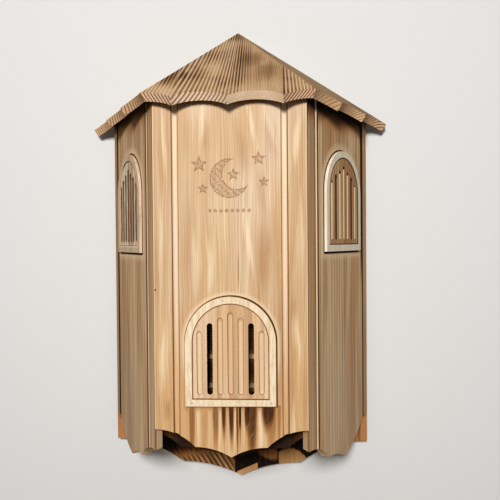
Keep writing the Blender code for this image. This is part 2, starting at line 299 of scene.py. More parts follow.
# How a board grew. Its staves meet at joints, and heart_u and heart_w say how far across and inward
# the heart of the tree lies from each. The heart leans with height, and crowd and fan close the
# rings up away from it and spread them with height. In each ring the late wood starts at early, is
# full at full and falls off from drop, and luck is how much its depth changes from ring to ring
PLAIN = {
    "seed": 1.0, "wave": 1.6, "wander": 0.012, "ripple": 0.0012, "joints": (), "heart_u": (0.0,),
    "heart_w": (0.05,), "lean": (0.0,), "pitch": (0.0040,), "crowd": 0.0, "fan": 0.0, "early": 0.35,
    "full": 0.86, "drop": 0.95, "luck": 0.75, "contrast": 0.45, "fibre": 0.55, "pores": 0.38,
    "light": STRAW, "warm": PEACH, "pink": ROSE, "dark": HONEY, "calm": None,
}


def tree(**changes):
    """How the tree grew that a board came from: the plain one with some values changed."""
    return dict(PLAIN, **changes)


def growth_rings(finish, axes, board):
    """Ring number from the heart of the tree, and the place across with its wander."""
    across, inward, along = axes
    seed = board["seed"]
    wave = finish.noise(axes, (9.0, 9.0, board["wave"]), seed, detail=1.5)
    ripple = finish.noise(axes, (60.0, 60.0, 10.0), seed + 7.0, detail=2.0)
    moved = across + (wave - 0.5) * board["wander"] + (ripple - 0.5) * board["ripple"]
    heart_u, heart_w, lean, pitch = [by_stave(across, board["joints"], board[key])
                                     for key in ("heart_u", "heart_w", "lean", "pitch")]
    side = moved * (along * board["fan"] + 1.0) - heart_u - along * lean
    away = slant(side, inward - heart_w)
    return away / pitch * (away * board["crowd"] + 1.0), moved


def softwood(finish, axes, board):
    """Colour and height of a plain softwood board; also its late wood and streaks, for burns."""
    inward, along = axes[1:]
    seed = board["seed"]
    rings, moved = growth_rings(finish, axes, board)
    share = rings.math('FRACT')
    luck = finish.chance(rings.math('FLOOR') + seed)
    late = share.rise(board["early"], board["full"]) * share.rise(1.0, board["drop"])
    late = late * (luck * board["luck"] + (1.0 - board["luck"]))
    drift = (moved, inward, along)
    fibre = finish.noise(axes, (900.0, 900.0, 15.0), seed + 3.0, detail=3.0, roughness=0.65)
    streak = finish.noise(drift, (200.0, 200.0, 4.0), seed + 11.0, detail=3.0, roughness=0.6)
    figure = finish.noise(drift, (46.0, 46.0, 4.0), seed + 19.0, detail=2.0)
    pores = finish.noise(axes, (1300.0, 1300.0, 800.0), seed + 29.0, detail=1.0)
    colour = finish.mix(figure.rise(0.38, 0.62), board["light"], board["warm"])
    colour = finish.mix(streak.rise(0.47, 0.70) * 0.65, colour, board["pink"])
    colour = finish.mix(late * board["contrast"], colour, board["dark"])
    grain = (fibre - 0.5) * board["fibre"] + (streak - 0.5) * 0.3 + (pores - 0.5) * board["pores"]
    colour = finish.scaled(colour, grain + 1.0)
    height = late * 0.6 + fibre * 0.4
    return colour, height, late, streak


# Front panel. Marks in its figure: top and foot as (across, up), half width and strength
PALE_MARKS = (
    ((-0.0210, 0.175), (-0.0320, 0.085), 0.0028, 0.80), ((0.0120, 0.175), (0.0310, 0.090), 0.0028, 0.80),
    ((0.0340, 0.150), (0.0500, 0.095), 0.0026, 0.60), ((-0.0340, 0.045), (-0.0355, -0.060), 0.0045, 0.80),
    ((-0.0185, 0.036), (-0.0205, -0.060), 0.0050, 0.80), ((0.0110, 0.066), (0.0270, -0.040), 0.0030, 1.0),
    ((0.0385, 0.096), (0.0410, 0.028), 0.0050, 0.65), ((-0.0688, 0.175), (-0.0630, 0.050), 0.0022, 0.80),
    ((-0.0690, 0.080), (-0.0700, -0.050), 0.0036, 0.50), ((0.0715, 0.150), (0.0610, 0.070), 0.0034, 0.80),
    ((0.0680, 0.090), (0.0700, -0.040), 0.0050, 0.75), ((-0.0640, -0.060), (-0.0700, -0.150), 0.0040, 0.85),
    ((0.0635, -0.050), (0.0700, -0.120), 0.0034, 0.70), ((-0.0050, 0.095), (-0.0080, -0.030), 0.0045, 0.45),
    ((-0.0330, -0.110), (-0.0335, -0.230), 0.0018, 0.80), ((-0.0112, -0.120), (-0.0112, -0.210), 0.0010, 0.9),
    ((0.0035, -0.120), (0.0035, -0.220), 0.0010, 0.80), ((0.0295, -0.120), (0.0285, -0.215), 0.0028, 1.00),
    ((0.0118, -0.150), (0.0110, -0.220), 0.0014, 0.70), ((0.0620, -0.140), (0.0600, -0.240), 0.0030, 0.60),
)
ROSY_MARKS = (
    ((-0.0255, 0.138), (-0.0245, 0.092), 0.0060, 0.60), ((0.0090, 0.138), (0.0150, 0.066), 0.0050, 0.65),
    ((0.0380, 0.140), (0.0470, 0.085), 0.0060, 0.50), ((-0.0405, 0.090), (-0.0420, -0.060), 0.0060, 0.55),
    ((0.0290, 0.092), (0.0350, 0.030), 0.0050, 0.55), ((0.0360, 0.042), (0.0345, -0.060), 0.0085, 0.95),
    ((-0.0745, 0.025), (-0.0735, -0.045), 0.0030, 0.70), ((0.0738, 0.060), (0.0735, -0.040), 0.0022, 0.80),
    ((0.0620, -0.034), (0.0625, -0.080), 0.0050, 0.70), ((0.0590, -0.100), (0.0620, -0.165), 0.0040, 0.70),
    ((-0.0645, -0.142), (-0.0640, -0.172), 0.0032, 1.0), ((-0.0500, -0.045), (-0.0490, -0.160), 0.0040, 0.60),
    ((0.0490, -0.010), (0.0500, -0.185), 0.0038, 0.85), ((0.0742, -0.080), (0.0742, -0.200), 0.0026, 0.70),
    ((0.0610, -0.060), (0.0612, -0.190), 0.0026, 0.60), ((-0.0740, -0.090), (-0.0735, -0.190), 0.0024, 0.55),
    ((0.0430, 0.060), (0.0440, -0.110), 0.0060, 0.50), ((-0.0430, 0.150), (-0.0430, 0.080), 0.0050, 0.35),
)
# Torch marks below the grille, which start at its foot: middle, half width, strength and reach
TORCH_MARKS = (
    (-0.0395, 0.0030, 0.52, 0.100), (-0.0265, 0.0032, 0.30, 0.080), (-0.0155, 0.0030, 0.56, 0.065),
    (-0.0072, 0.0022, 0.80, 0.044), (0.0002, 0.0024, 0.84, 0.052), (0.0062, 0.0012, 0.70, 0.075),
    (0.0160, 0.0026, 0.92, 0.038), (0.0205, 0.0050, 0.74, 0.080), (0.0370, 0.0066, 0.86, 0.036),
    (0.0400, 0.0052, 0.50, 0.065), (0.0475, 0.0020, 0.42, 0.075),
)
# Where the fine slanting scratches show
SCRATCHED = (
    ((0.0420, 0.022), (0.0420, -0.050), 0.0090, 0.9), ((0.0300, -0.150), (0.0180, -0.205), 0.0200, 0.7),
)
SCRATCH_LEAN = 0.75
CRACK_AT = 0.0088
SEAM_AT = 0.0082
PIT_AT = (-0.0752, -0.0366)

FRONT_HIGH = (236, 215, 190)
FRONT_BROAD = (204, 158, 104)
FRONT_STILE = (194, 152, 108)
FRONT_LOW = (220, 166, 100)
FRONT_ROSY = (178, 130, 88)
FRONT_HAIR = (178, 128, 80)
FRONT_FLUTE = (250, 226, 194)
RUBBED = (246, 212, 160)
FRONT_TREE = tree(
    seed=4.0, joints=(-0.0300, SEAM_AT, 0.0560), heart_u=(-0.045, -0.060, 0.052, 0.030),
    heart_w=(0.040, 0.030, 0.050, 0.050), lean=(0.03, -0.02, 0.06, 0.12),
    pitch=(0.0042, 0.0026, 0.0046, 0.0050), contrast=0.55, early=0.2,
)


def front_figure(finish, axes, colour, drift, flow):
    """Washes of tone, the rosy and pale marks, hair-fine fibre and a pale strip along the side edges."""
    across, inward, along = axes
    hair = finish.noise((drift, inward, along), (1000.0, 1000.0, 6.0), 36.0, detail=2.0) - 0.5
    broad = finish.noise(axes, (24.0, 24.0, 6.0), 37.0, detail=1.0)
    colour = finish.mix(along.rise(-0.02, 0.11) * 0.52, colour, FRONT_HIGH)
    colour = finish.mix(broad.rise(0.42, 0.62) * 0.60, colour, FRONT_BROAD)
    colour = finish.mix(across.size().rise(0.056, 0.058) * 0.40, colour, FRONT_STILE)
    colour = finish.mix(along.rise(-0.03, -0.13) * 0.50, colour, FRONT_LOW)
    rosy = strokes(drift, along, ROSY_MARKS)
    colour = finish.mix((rosy * (flow * 2.8 + 0.78)).clamped(), colour, FRONT_ROSY)
    pale = strokes(drift, along, PALE_MARKS)
    colour = finish.mix((pale * 0.80 + flow * (pale * 2.4 + 1.4)).clamped() * 0.85, colour, CREAM)
    colour = finish.mix((hair * 2.6).clamped() * 0.60, colour, CREAM)
    colour = finish.mix((hair * -2.6).clamped() * 0.75, colour, FRONT_HAIR)
    edge = across.size() - HALF_FRONT
    return finish.mix(edge.rise(-0.0016, -0.0006) * inward.rise(0.0012, 0.0) * 0.5, colour, CREAM)


def grille_torch(finish, axes, flow, below):
    """Torch marks that reach down from the foot of the grille."""
    across = axes[0]
    torch = across * 0.0
    sway = (finish.noise(axes, (24.0, 24.0, 22.0), 5.0) - 0.5) * 0.002
    for middle, half, dark, reach in TORCH_MARKS:
        tip = (across + sway - middle).size() / half
        tongue = below / reach + tip * tip * 0.30
        torch = torch.most(tongue.rise(1.15, 0.25) * tip.rise(1.7, 0.5) * dark)
    torch = torch * ((flow * 2.2 + 0.9).clamped() * 0.4 + 0.6)
    torch = torch.most(across.size().rise(0.050, 0.044) * below.rise(0.010, 0.0) * 0.40)
    return torch * below.above(-0.001)


def front_lines(torch, across, along, below, flutes):
    """The torch marks with the crack, the glue seam, the lips of the flutes and a pit, and painted shadow
    under the eave.
    """
    crack = across.band(CRACK_AT, 0.0007, 0.0008) * below.rise(0.030, 0.014) * below.above(0.0)
    tail = across.band(CRACK_AT, 0.0002, 0.0006) * below.rise(0.060, 0.015) * below.above(0.0)
    seam = across.band(SEAM_AT, 0.0002, 0.0006)
    seam = seam * along.rise(-0.048, -0.020) * along.rise(0.012, -0.012)
    # The band just under the eave is painted shadow of the eave
    torch = torch.most(crack).most(tail * 0.75).most(seam * 0.55).most(along.rise(*EAVE_SHADE_Z) * 0.45)
    outer = flutes.band(FLUTE_W / 2.0, 0.0003, 0.0007)
    inner = flutes.band(-FLUTE_W / 2.0, 0.0002, 0.0007)
    torch = torch.most(outer * 0.66).most(inner * 0.48)
    pit = slant(across - PIT_AT[0], along - PIT_AT[1])
    return torch.most(pit.rise(0.0014, 0.0005) * 0.9)


def front_panel_wood(corner, grille_foot):
    """Pale figured board, torched below the grille and bright in its two flutes, with painted shade in its
    corners and openings and painted shadow beside the grille.
    """
    finish = Finish("front_panel_wood")
    axes = finish.board_axes(corner, NO_TURN)
    across, inward, along = axes
    below = grille_foot - along
    flutes = across.size() - (HALF_FRONT - FRONT_FLUTE_EDGE)
    gap = arch_distance(across, along - grille_foot, PLAQUE_W / 2.0, 0.0, PLAQUE_SPRING)
    colour, height = softwood(finish, axes, FRONT_TREE)[:2]
    wave = finish.noise(axes, (20.0, 20.0, 16.0), 33.0, detail=2.0)
    drift = across + (wave - 0.5) * 0.007
    flow = finish.noise((drift, inward, along), (330.0, 330.0, 9.0), 35.0, detail=3.0, roughness=0.6) - 0.5
    colour = front_figure(finish, axes, colour, drift, flow)
    colour = finish.mix(gap.rise(0.0065, 0.0008) * below.rise(-0.015, -0.055) * 0.6, colour, CREAM)
    torch = front_lines(grille_torch(finish, axes, flow, below), across, along, below, flutes)
    # Dark line round the grille: a burnt outline, with painted shadow that makes it stronger towards the
    # right
    rim = gap.rise(0.0015, 0.0005) * (across.rise(-0.05, 0.03) * 0.35 + 0.58)
    # Painted shade on the faces inside the panel behind the grille, in its cut slots
    slots = across.size().rise(0.047, 0.046) * inward.above(0.0004)
    shade = finish.nook(0.016).rise(0.38, 0.85) * 0.95
    colour = darken(finish, colour, torch.most(rim).most(slots).most(shade))
    bare = flutes.size().rise(FLUTE_W / 2.0, FLUTE_W / 2.0 - 0.0006) * inward.above(0.0003)
    colour = finish.mix(bare * along.rise(-0.20, 0.02) * 0.65, colour, FRONT_FLUTE)
    slanted = (across + along * -SCRATCH_LEAN, inward, along + across * SCRATCH_LEAN)
    scratch = finish.noise(slanted, (1100.0, 1100.0, 45.0), 41.0, detail=1.0).rise(0.60, 0.72)
    colour = finish.mix(scratch * strokes(across, along, SCRATCHED) * 0.40, colour, RUBBED)
    colour = engraved_night_sky(finish, across, along, colour)
    return finish.finish(colour, height, 0.62, 0.00028)


# Engraved above the grille: a crescent moon between stars, as (across, up, reach), over a row of dots
MOON_AT = (0.0000, 0.0740)
MOON_R = 0.0190
MOON_BITE_AT = (0.42, 0.22)     # its middle from the moon's, and its radius, in radii of the moon
MOON_BITE_R = 0.82
STARS = ((-0.0300, 0.0880, 0.0074), (0.0290, 0.0930, 0.0062), (0.0345, 0.0700, 0.0044),
         (-0.0265, 0.0640, 0.0044), (0.0040, 0.0775, 0.0052))
STAR_DENT = 0.42                # where the edge turns in between two points, as a share of the reach
DOT_Z = 0.0420
DOT_PITCH = 0.0056
DOT_R = 0.0012
DOTS_A_SIDE = 4.0
HATCHING = 900.0
ENGRAVED = (146, 96, 62)


def star_distance(x, z, reach):
    """Distance outside a five-pointed star whose points reach so far."""
    fifth = 2.0 * math.pi / 5.0
    angle = x.math('ARCTAN2', z)
    folded = (angle + math.pi * 2.0 + fifth / 2.0).math('MODULO', fifth) - fifth / 2.0
    folded = folded.size()
    radius = slant(x, z)
    inner = reach * STAR_DENT
    tip = Vector((reach, 0.0))
    dent = Vector((inner * math.cos(fifth / 2.0), inner * math.sin(fifth / 2.0)))
    edge = dent - tip
    normal = Vector((edge.y, -edge.x)).normalized()
    from_tip = radius * folded.math('COSINE') - tip.x
    return from_tip * normal.x + radius * folded.math('SINE') * normal.y


def engraved_night_sky(finish, across, along, colour):
    """Outlined and hatched, and worn in places."""
    x = across - MOON_AT[0]
    z = along - MOON_AT[1]
    bite = MOON_R * MOON_BITE_R - slant(x - MOON_R * MOON_BITE_AT[0], z - MOON_R * MOON_BITE_AT[1])
    line = (slant(x, z) - MOON_R).most(bite)
    for star_x, star_z, reach in STARS:
        line = line.least(star_distance(across - star_x, along - star_z, reach))
    spot = ((across / DOT_PITCH).math('FRACT') - 0.5) * DOT_PITCH
    row = slant(spot, along - DOT_Z) - DOT_R
    line = line.least(row + across.size().above(DOT_PITCH * DOTS_A_SIDE))
    outline = line.size().rise(0.0009, 0.0002)
    inside = line.rise(0.0003, -0.0003)
    hatch = ((across + along) * HATCHING).math('SINE').rise(-0.3, 0.7) * inside
    mark = (outline * 0.80).most(inside * 0.34).most(hatch * 0.60)
    worn = finish.noise((across, along, along), (500.0, 500.0, 0.0), 77.0, detail=2.0)
    return finish.mix(mark * worn.rise(0.30, 0.50), colour, ENGRAVED)


# The two sides of the house. hand is 1 on the right and -1 on the left. The last two values say how
# dark the joint with the edge strip is, burnt and with painted shade in its corner, and how strong
# the painted shadow is at the top of the panel under the eave
SIDES = (
    {"name": "right", "hand": 1.0, "panel_seed": 35.0, "strip_seed": 55.0,
     "joint_dark": 0.15, "eave_shadow": 1.0},
    {"name": "left", "hand": -1.0, "panel_seed": 25.0, "strip_seed": 49.0,
     "joint_dark": 1.0, "eave_shadow": 0.45},
)
SIDE_GREY = (186, 162, 134)
SIDE_DARK_LINE = (116, 76, 44)
SIDE_PALE_LINE = (244, 214, 174)
SIDE_BLOOM = (200, 172, 150)
SIDE_STILE = (176, 144, 110)
SIDE_HALO = (248, 218, 176)
SIDE_END = (236, 186, 124)
SIDE_FLUTE = (255, 222, 176)
STRIP_JOINT_DARK = 0.95


def side_tree(side):
    hand = side["hand"]
    return tree(seed=side["panel_seed"], heart_u=(-0.30 * hand,), heart_w=(0.10,), lean=(0.004 * hand,),
                pitch=(0.0066,), contrast=0.42, early=0.30, wander=0.010, wave=1.0, fibre=0.7,
                light=(236, 202, 158), warm=(206, 160, 110), pink=(184, 142, 104), dark=(132, 84, 46))


def side_figure(finish, axes, colour, grey, from_corner, seed):
    """Greyer than the front, with fine dark and pale lines and a bloom low on the panel."""
    along = axes[2]
    colour = finish.mix(grey.rise(0.45, 0.7) * 0.35, colour, SIDE_GREY)
    lines = finish.noise(axes, (360.0, 360.0, 2.4), seed + 45.0, detail=4.0, roughness=0.78)
    dark = lines.rise(0.50, 0.66) * (along.rise(0.0, 0.12) * 0.30 + 0.50)
    colour = finish.mix(dark, colour, SIDE_DARK_LINE)
    colour = finish.mix(lines.rise(0.48, 0.34) * 0.32, colour, SIDE_PALE_LINE)
    bloom = from_corner.rise(0.03, 0.08) * from_corner.rise(0.13, 0.09) * along.rise(-0.08, -0.16)
    colour = finish.mix(bloom * 0.35, colour, SIDE_BLOOM)
    stile = from_corner.rise(SIDE_FLUTE_EDGE, SIDE_FLUTE_EDGE - 0.001)
    return finish.mix(stile * 0.25, colour, SIDE_STILE)


def strip_joint(along, from_corner, joint_dark):
    """Where the panel's end at the edge strip is darkened, a burnt joint with painted shade in the corner,
    and where it is pale lower down.
    """
    end = from_corner.rise(SIDE_PANEL_W - 0.0060, SIDE_PANEL_W - 0.0020)
    high = along.rise(-0.06, 0.02)
    burnt_and_shaded = end * (high * (1.0 - joint_dark) + joint_dark) * 0.9
    return burnt_and_shaded, end * (1.0 - high) * (1.0 - joint_dark)


def window_outline(along, window_u, gap):
    """Dark line round the window, part burnt outline and part painted shadow, with a stronger band of painted
    shadow under its foot.
    """
    foot = window_u.size().rise(0.047, 0.045) * along.band(-0.0012, 0.0006, 0.0012)
    return (gap.rise(0.0022, 0.0008) * 0.75).most(foot)


def side_burns_and_shade(finish, along, grey, from_corner, outline, dark_end, eave_shadow):
    """The outline and end with the lips of the flute and the front arris, and painted shade in corners with
    painted shadow under the eave.
    """
    lip = (from_corner - SIDE_FLUTE_EDGE).size().band(FLUTE_W / 2.0 + 0.0004, 0.0005, 0.0007)
    arris = from_corner.rise(0.0022, 0.0008) * 0.45
    torch = outline.most(lip * 0.75).most(dark_end).most(arris)
    # Painted shade in corners, and painted shadow in a band under the eave
    shade = finish.nook(0.045).rise(0.20, 0.66) * 1.1
    darkening = shade + (along + (grey - 0.5) * 0.02).rise(0.120, 0.150) * 0.65
    return torch + darkening * eave_shadow


def side_panel_wood(side, corner, turn):
    """Fine straight grain, with a pale halo round the window and a bright flute."""
    finish = Finish(side["name"] + "_side_wood")
    axes = finish.board_axes(corner, turn)
    across, inward, along = axes
    colour, height = softwood(finish, axes, side_tree(side))[:2]
    from_corner = across * side["hand"]
    grey = finish.noise(axes, (16.0, 16.0, 3.0), side["panel_seed"] + 41.0, detail=1.0)
    colour = side_figure(finish, axes, colour, grey, from_corner, side["panel_seed"])
    window_u = from_corner - WINDOW_NEAR_EDGE - PLAQUE_W / 2.0
    gap = arch_distance(window_u, along, PLAQUE_W / 2.0, 0.0, PLAQUE_SPRING)
    colour = finish.mix(gap.rise(0.012, 0.002) * 0.65, colour, SIDE_HALO)
    dark_end, pale_end = strip_joint(along, from_corner, side["joint_dark"])
    colour = finish.mix(pale_end, colour, SIDE_END)
    outline = window_outline(along, window_u, gap)
    torch = side_burns_and_shade(finish, along, grey, from_corner, outline, dark_end, side["eave_shadow"])
    colour = darken(finish, colour, torch)
    flute = from_corner - SIDE_FLUTE_EDGE
    bare = flute.size().rise(FLUTE_W / 2.0, FLUTE_W / 2.0 - 0.0008) * inward.above(0.0003)
    colour = finish.mix(bare * 0.85, colour, SIDE_FLUTE)
    # Painted shade on the faces inside the panel behind the window, in its openings
    colour = darken(finish, colour, gap.rise(-0.004, -0.006) * inward.above(0.0004))
    return finish.finish(colour, height, 0.64, 0.00035)


def edge_strip_wood(side, corner, turn):
    """Brown strip, black at its joint with the side panel: a dark joint with painted shade in the corner.
    More painted shade lies in its other corners.
    """
    finish = Finish(side["name"] + "_strip_wood")
    axes = finish.board_axes(corner, turn)
    hand = side["hand"]
    board = tree(seed=side["strip_seed"], heart_u=(0.02 * hand,), heart_w=(0.08,), pitch=(0.0034,),
                 contrast=0.8, light=(216, 174, 128), warm=(196, 150, 104), pink=(176, 134, 94),
                 dark=(112, 70, 40))
    colour, height = softwood(finish, axes, board)[:2]
    # A dark joint with painted shade in the corner by the side panel, then painted shade in corners
    near = (axes[0] * hand - SIDE_PANEL_W).rise(0.0046, 0.0022) * STRIP_JOINT_DARK
    colour = darken(finish, colour, near.most(finish.nook(0.020).rise(0.35, 0.9) * 0.9))
    return finish.finish(colour, height, 0.64, 0.00030)


# Back board: its joints, where the knot lies in the painted shadow, and the pale strip at its foot
LEFT_JOINT = -0.0070
RIGHT_JOINT = 0.0450
KNOT_AT = (0.0330, -0.2480)
TOE_STRIP = ((-0.0045, -0.2775), (0.0205, -0.2665))
BACK_EDGE = (198, 140, 84)
BACK_FACET = (196, 146, 90)
BACK_TOE_STRIP = (236, 176, 112)
BACK_TREE = tree(
    seed=21.0, joints=(LEFT_JOINT, RIGHT_JOINT), heart_u=(-0.42, 0.05, 0.20), heart_w=(0.03, 0.06, 0.10),
    lean=(-0.64, 0.0, 0.0), pitch=(0.0062, 0.0120, 0.0050), contrast=1.00, early=0.40,
    light=(122, 78, 42), warm=(98, 60, 30), pink=(84, 50, 25), dark=(240, 190, 128), wander=0.008,
)


def knotty_shadow(across, along):
    """Painted shadow on the middle of the back board, thinner round its knot and at its rings."""
    middle = across.above(LEFT_JOINT) * across.rise(RIGHT_JOINT + 0.0025, RIGHT_JOINT + 0.0005)
    knot_x = across - KNOT_AT[0]
    knot = slant(knot_x, (along - KNOT_AT[1]) * 1.7 + knot_x * 0.5)
    ring = (knot * 420.0).math('SINE') * 0.10
    return middle * (knot.rise(0.006, 0.024) * 0.60 + 0.42 + ring)


def toe_strip(across, along):
    """1 on the pale strip at the middle of the foot."""
    left, right = TOE_STRIP
    rise = (right[1] - left[1]) / (right[0] - left[0])
    height_over = along - left[1] - (across - left[0]) * rise
    shown = height_over.rise(0.0058, 0.0046) * across.rise(left[0] - 0.0015, left[0] - 0.0003)
    return shown * across.rise(right[0] + 0.0010, right[0] - 0.0010)


def back_board_wood(corner):
    """Wide flat board: bold slanting grain left of its joint, smooth right of it and darkened there by
    painted shadow.
    """
    finish = Finish("back_board_wood")
    axes = finish.board_axes(corner, NO_TURN)
    across, along = axes[0], axes[2]
    colour, height, late, streak = softwood(finish, axes, BACK_TREE)
    front = finish.facing(NO_TURN).rise(0.3, 0.8)
    colour = finish.mix(across.size().rise(0.112, 0.120).most(1.0 - front) * 0.75, colour, BACK_EDGE)
    shown = front * across.size().rise(0.122, 0.114)
    facet = across.rise(RIGHT_JOINT, RIGHT_JOINT + 0.0015) * front * across.rise(0.116, 0.108)
    colour = finish.mix(facet * 0.80, colour, BACK_FACET)
    # Painted shade over the upper part, inside the house
    upper = (along + across.size() * 0.16).rise(-0.2520, -0.2240) * (1.0 - facet)
    # On the facet, painted shade above an arc, with a painted band of light along it
    arc = along + (across - 0.0600) * (across - 0.0600) * 30.0
    lit_band = arc.band(-0.2340, 0.0020, 0.0026) * across.rise(0.0700, 0.0640)
    upper = upper.most(facet * (arc.rise(-0.2460, -0.2400) - lit_band * 0.55))
    seam = across.band(LEFT_JOINT, 0.0005, 0.0011) + across.band(RIGHT_JOINT + 0.0005, 0.0004, 0.0008)
    shade = finish.nook(0.045).rise(0.30, 0.85) * (0.9 - facet * 0.7) * front
    corner_lines = across.size().rise(0.112, 0.120) * late * 0.30
    torch = knotty_shadow(across, along).most(upper).most(seam * 0.85) * shown
    torch = torch + shade + (streak - 0.5) * 0.8 + corner_lines
    toe_mark = toe_strip(across, along)
    torch = torch * (1.0 - toe_mark * shown)
    colour = finish.mix(toe_mark * shown * 0.8, colour, BACK_TOE_STRIP)
    colour = darken(finish, colour, torch + late * 0.30)
    return finish.finish(colour, height, 0.66, 0.00035)


# Roof. Smoky places on its front: top and foot as (across, up the slope), half width, strength
ROOF_CLOUDS = (
    ((0.0180, -0.060), (0.0230, -0.135), 0.0150, 0.18), ((-0.0330, -0.105), (-0.0340, -0.165), 0.0110, 0.16),
    ((0.0000, 0.010), (0.0000, -0.040), 0.0120, 0.24), ((0.0380, -0.090), (0.0430, -0.165), 0.0140, 0.22),
    ((-0.0560, -0.110), (-0.0660, -0.172), 0.0060, 0.3), ((-0.0480, -0.120), (-0.0500, -0.155), 0.0050, 0.25),
)
# The staves meet at the tips of the scallops. calm is where the rings are faint, as start, full and end
FRONT_ROOF = tree(
    seed=11.0, joints=(-0.0540, 0.0000, 0.0540), heart_u=(0.020, -0.080, -0.100, -0.020),
    heart_w=(-0.030, -0.030, -0.100, -0.045), lean=(-0.05, 0.01, 0.00, 0.08),
    pitch=(0.0120, 0.0112, 0.0130, 0.0116), crowd=22.0, fan=1.5, contrast=0.0, early=0.22, full=0.50,
    drop=0.80, luck=0.30, wander=0.004, calm=(0.006, 0.024, 0.054), light=(250, 226, 194),
    warm=(242, 212, 176), pink=(230, 196, 160), fibre=0.6, clouds=ROOF_CLOUDS,
)
SIDE_JOINTS = (-0.0428, 0.0215, 0.0858)
# How strongly each stave is burnt and smoked on top, and reddened and browned on the eave
FRONT_ROOF_TORCH = {
    "darken": (0.45, 0.74, 0.60, 0.82), "darkening": (0.14, 0.08, 0.20, 0.16),
    "red": (0.95, 0.85, 0.22, 0.95), "brown": (0.35, 0.20, 0.18, 0.50),
}
SIDE_ROOF_TORCH = {
    "darken": (0.7, 0.8, 0.8, 0.8), "darkening": (0.2, 0.2, 0.2, 0.2),
    "red": (0.5, 0.7, 0.8, 0.8), "brown": (0.25, 0.10, 0.25, 0.35),
}
ROOF_FACE = (212, 174, 128)
EAVE_BROWN = (182, 134, 92)
EAVE_RED = (134, 66, 36)
ROOF_UMBER = (96, 58, 32)
ROOF_TOAST = (164, 120, 76)


def side_roof(hand):
    """How the boards of a side of the roof grew; the staves of the left one come in turned order."""
    order = 1 if hand > 0.0 else -1
    joints = tuple(joint * hand for joint in SIDE_JOINTS)[::order]
    return tree(seed=15.0 + hand, joints=joints, heart_u=(-0.12, 0.06, 0.10, 0.20)[::order],
                heart_w=(-0.05, 0.045, 0.040, 0.05)[::order], lean=(0.0, 0.0, 0.0, 0.0),
                pitch=(0.0042, 0.0030, 0.0036, 0.0040), contrast=0.0, wander=0.004,
                light=(240, 206, 162), warm=(226, 186, 138), pink=(210, 168, 122), fibre=0.6, clouds=())


def roof_scorch(finish, axes, board, torch, late, streak):
    """Burnt late wood on the top of the roof, blotched and clouded."""
    across, along = axes[0], axes[2]
    patch = finish.noise(axes, (24.0, 24.0, 15.0), board["seed"] + 51.0, detail=3.0)
    depth = by_stave(across, board["joints"], torch["darken"])
    darkening = by_stave(across, board["joints"], torch["darkening"])
    mottled = patch.rise(0.30, 0.64) * 0.50 + 0.50
    if board["calm"]:
        start, full, end = board["calm"]
        calm = across.rise(start, full) * (1.0 - across.above(end))
        depth = depth * (1.0 - calm * 0.8)
    cloud = strokes(across, along, board["clouds"])
    return late * mottled * depth + (streak - 0.5) * 0.35 + (patch - 0.5) * 0.55 + darkening + cloud


def roof_panel_wood(name, corner, turn, board, torch):
    """Flamed on top and pale on the sawn eave, where the rings show as end grain, with painted shade
    underneath and in corners.
    """
    finish = Finish(name)
    axes = finish.board_axes(corner, turn)
    across = axes[0]
    colour, height, late, streak = softwood(finish, axes, board)
    share = growth_rings(finish, axes, board)[0].math('FRACT')
    facing = finish.facing(turn)
    top = facing.rise(0.5, 0.9)
    under = facing.rise(-0.5, -0.9)
    edge = (1.0 - top) * (1.0 - under)
    scorch = roof_scorch(finish, axes, board, torch, late, streak)
    colour = finish.mix(top * 0.80, colour, ROOF_FACE)
    colour = finish.mix(edge * by_stave(across, board["joints"], torch["brown"]), colour, EAVE_BROWN)
    thin = share.rise(0.42, 0.70) * share.rise(1.0, 0.84) * edge
    colour = finish.mix(thin * by_stave(across, board["joints"], torch["red"]), colour, EAVE_RED)
    # The underside's darkening and the nook term are painted shade
    burnt_and_shaded = scorch * top + under * 0.75 + finish.nook(0.012).rise(0.55, 1.0) * 0.5
    colour = darken(finish, colour, burnt_and_shaded, tone=ROOF_UMBER, toast=ROOF_TOAST)
    return finish.finish(colour, height, 0.60, 0.00040)


# Looks of the plaques: tones of the raised frame, the sunk field and the floors of the flutes, how
# strong the dark lines are on the rim, the lips, the outer edge and the tops of the flutes, which
# half of a lip gets a painted highlight, and how strong the painted highlight on the inner edge and
# the painted shade round the flutes are. The lines on the lips and the outer edge are partly painted
# shade, and those at the tops of the flutes are painted shadow
GRILLE_LOOK = {
    "seed": 63.0, "contrast": 0.50, "frame": (250, 232, 200), "frame_worn": (222, 192, 150),
    "field": (236, 204, 168), "field_warm": (222, 182, 138), "field_pink": (206, 162, 118),
    "floor": 0.35, "floor_tone": (236, 202, 160), "rim": 0.66, "lip": 0.84, "edge": 0.80, "top": 0.20,
    "lit": 1.0, "floor_depth": (0.0005, 0.0010), "edge_highlight": 0.0, "flute_shade": 0.0,
}
RIGHT_WINDOW_LOOK = dict(
    GRILLE_LOOK, seed=60.0, contrast=0.80, frame=(255, 246, 226), frame_worn=(246, 224, 196),
    field=(206, 170, 126), field_warm=(182, 142, 98), field_pink=(160, 116, 78), floor=0.90,
    floor_tone=(255, 236, 198), rim=0.85, lip=0.92, edge=0.0, top=0.95,
)
# The left window has pale slats between flutes filled with painted shade, and the painted highlight on its
# lips falls on the other side
LEFT_WINDOW_LOOK = dict(
    RIGHT_WINDOW_LOOK, frame=(230, 200, 168), frame_worn=(196, 160, 128), field=(255, 240, 212),
    field_warm=(250, 226, 190), field_pink=(236, 206, 168), floor_tone=(62, 38, 26), lit=-1.0,
    floor_depth=(0.0000, 0.0002), edge_highlight=1.0, flute_shade=0.85,
)
WINDOW_LOOKS = {"right": RIGHT_WINDOW_LOOK, "left": LEFT_WINDOW_LOOK}
PLAQUE_LINE = (168, 118, 76)
PLAQUE_UMBER = (122, 76, 44)


def from_slot(pitches):
    """Place across from the middle of the nearest flute, from -0.5 to 0.5; both count in pitches."""
    return (pitches + 0.5).math('FRACT') - 0.5


def slot_head(across):
    """Height of the top of the nearest flute."""
    return SLOT_HEAD - (across.size() / SLOT_PITCH + 0.5).math('FLOOR') * SLOT_STEP


